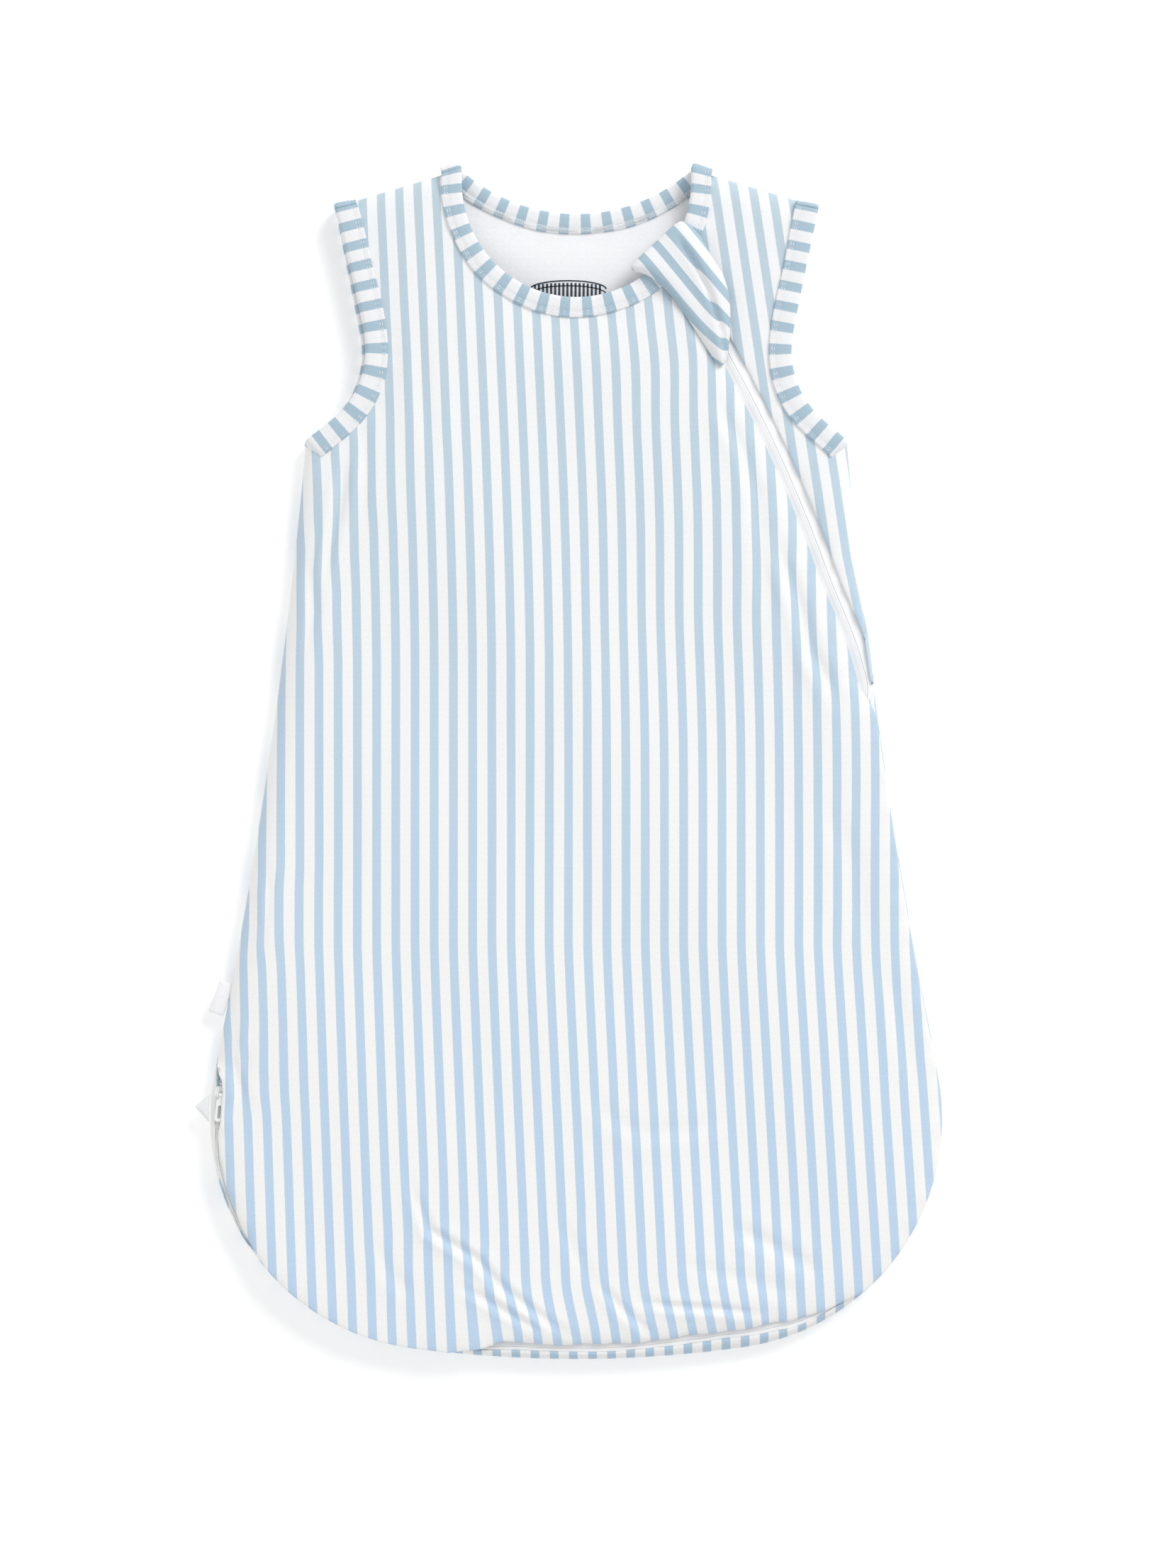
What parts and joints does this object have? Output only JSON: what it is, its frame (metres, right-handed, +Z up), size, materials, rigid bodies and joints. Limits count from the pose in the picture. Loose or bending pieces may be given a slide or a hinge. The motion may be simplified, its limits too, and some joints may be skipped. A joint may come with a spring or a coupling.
{
  "type": "baby sleeping bag",
  "caption": "Sleeveless padded baby sleeping bag with a round hem, bound neck and armholes, and a curved zip from the neck down one side and round the hem.",
  "frame": {"origin": "on the resting face, on the centre line, half way between the neck points and the hem", "axes": "+Z up from the surface it lies on, +Y towards the neck, +X to the right seen from above"},
  "size_m": [0.4508, 0.718, 0.0198],
  "materials": {
    "striped_jersey": "matte",
    "white_jersey": "matte",
    "wadding": "matte",
    "zip_tape": "matte",
    "zip_coil": "satin",
    "slider_enamel": "gloss",
    "ribbon": "matte"
  },
  "bodies": {
    "bag": {"back_lining": "white_jersey", "back_shell": "striped_jersey", "back_top_stop": "zip_coil", "back_wadding": "wadding", "back_zip_coil": "zip_coil", "back_zip_tape": "zip_tape", "bottom_stop": "zip_coil", "front_left_lining": "white_jersey", "front_left_shell": "striped_jersey", "front_left_wadding": "wadding", "front_zip_coil_end": "zip_coil", "front_zip_tape_end": "zip_tape", "hem_edge": "striped_jersey", "left_armhole_binding": "striped_jersey", "left_shoulder_seam": "striped_jersey", "left_side_seam": "striped_jersey", "neck_binding": "striped_jersey", "right_armhole_binding": "striped_jersey", "right_shoulder_seam": "striped_jersey", "right_side_seam": "striped_jersey", "side_label": "ribbon", "side_lining": "white_jersey", "side_shell": "striped_jersey", "side_wadding": "wadding"},
    "front_flap": {"front_shell": "striped_jersey", "front_wadding": "wadding", "front_lining": "white_jersey", "neck_binding_front": "striped_jersey", "front_zip_tape": "zip_tape", "front_zip_coil": "zip_coil", "front_top_stop": "zip_coil"},
    "upper_slider": {"upper_slider": "slider_enamel"},
    "upper_pull": {"upper_pull": "slider_enamel"},
    "lower_slider": {"lower_slider": "slider_enamel"},
    "lower_pull": {"lower_pull": "slider_enamel"},
    "upper_cover": {"upper_zip_cover": "striped_jersey"},
    "lower_cover": {"lower_zip_cover": "white_jersey"}
  },
  "joints": [
    {"name": "front_fold", "type": "hinge", "parent": "bag", "child": "front_flap", "pos_m": [-0.069, 0.359, 0.0182], "axis": [-0.2245, -0.9745, 0], "range_deg": [0, 165]},
    {"name": "upper_cover_lift", "type": "hinge", "parent": "front_flap", "child": "upper_cover", "pos_m": [0.06241, 0.32085, 0.0191], "axis": [-0.6499, -0.76, 0], "range_deg": [0, 160]},
    {"name": "upper_slider_run", "type": "hinge", "parent": "bag", "child": "upper_slider", "pos_m": [-0.66859, -0.1771, 0.0134], "axis": [0, 0, -1], "range_deg": [0, 17.8]},
    {"name": "upper_pull_swing", "type": "hinge", "parent": "upper_slider", "child": "upper_pull", "pos_m": [0.05935, 0.30002, 0.0166], "axis": [-0.8364, -0.5482, 0], "range_deg": [0, 80]},
    {"name": "lower_slider_run", "type": "hinge", "parent": "bag", "child": "lower_slider", "pos_m": [-0.081, -0.21334, 0.0134], "axis": [0, 0, 1], "range_deg": [0, 84.2]},
    {"name": "lower_pull_swing", "type": "hinge", "parent": "lower_slider", "child": "lower_pull", "pos_m": [-0.21372, -0.19892, 0.0166], "axis": [-0.9942, 0.108, 0], "range_deg": [0, 150]},
    {"name": "lower_cover_lift", "type": "hinge", "parent": "bag", "child": "lower_cover", "pos_m": [-0.22224, -0.20667, 0.0124], "axis": [0.0471, 0.9989, 0], "range_deg": [0, 80]}
  ],
  "couplings": [
    {"joint": "upper_pull_swing", "follows": "upper_cover_lift", "ratio": 0.5}
  ]
}
